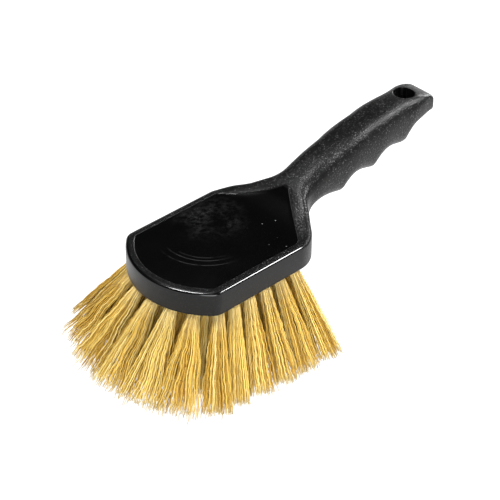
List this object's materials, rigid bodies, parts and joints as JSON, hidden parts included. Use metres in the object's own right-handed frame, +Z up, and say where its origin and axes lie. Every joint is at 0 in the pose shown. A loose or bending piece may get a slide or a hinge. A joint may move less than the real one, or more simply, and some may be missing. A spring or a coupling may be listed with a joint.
{
  "type": "wheel brush",
  "caption": "Short-handled wheel brush: a rounded block with an arched finger-grip handle and a hang hole, and flared tufts of crimped filament wired into drilled holes.",
  "frame": {"origin": "on the surface that the brush stands on, under the middle of its bounding box", "axes": "+X from the nose of the block towards the end of the handle, +Z up from the bristle tips through the block, along the hanging hole"},
  "size_m": [0.2506, 0.1318, 0.1063],
  "materials": {
    "black_plastic": "black moulded plastic, satin with a fine leather grain; smoother and glossier on the panel in its top",
    "filament": "cream to straw-yellow crimped filament, satin, slightly translucent, with pale split tips",
    "wire": "drawn flat wire, satin"
  },
  "bodies": {
    "root": {"block_and_handle": "black_plastic", "anchor_wires": "wire", "outer_tuft_1": "filament", "outer_tuft_2": "filament", "outer_tuft_3": "filament", "outer_tuft_4": "filament", "outer_tuft_5": "filament", "outer_tuft_6": "filament", "outer_tuft_7": "filament", "outer_tuft_8": "filament", "outer_tuft_9": "filament", "outer_tuft_10": "filament", "outer_tuft_11": "filament", "outer_tuft_12": "filament", "outer_tuft_13": "filament", "outer_tuft_14": "filament", "outer_tuft_15": "filament", "outer_tuft_16": "filament", "outer_tuft_17": "filament", "inner_tuft_1": "filament", "inner_tuft_2": "filament", "inner_tuft_3": "filament", "inner_tuft_4": "filament", "inner_tuft_5": "filament", "inner_tuft_6": "filament", "inner_tuft_7": "filament", "inner_tuft_8": "filament", "inner_tuft_9": "filament", "inner_tuft_10": "filament", "inner_tuft_11": "filament", "inner_tuft_12": "filament", "inner_tuft_13": "filament", "inner_tuft_14": "filament", "inner_tuft_15": "filament", "inner_tuft_16": "filament", "inner_tuft_17": "filament", "inner_tuft_18": "filament", "inner_tuft_19": "filament", "inner_tuft_20": "filament", "inner_tuft_21": "filament", "inner_tuft_22": "filament", "inner_tuft_23": "filament", "inner_tuft_24": "filament", "inner_tuft_25": "filament", "inner_tuft_26": "filament", "inner_tuft_27": "filament"}
  },
  "joints": []
}
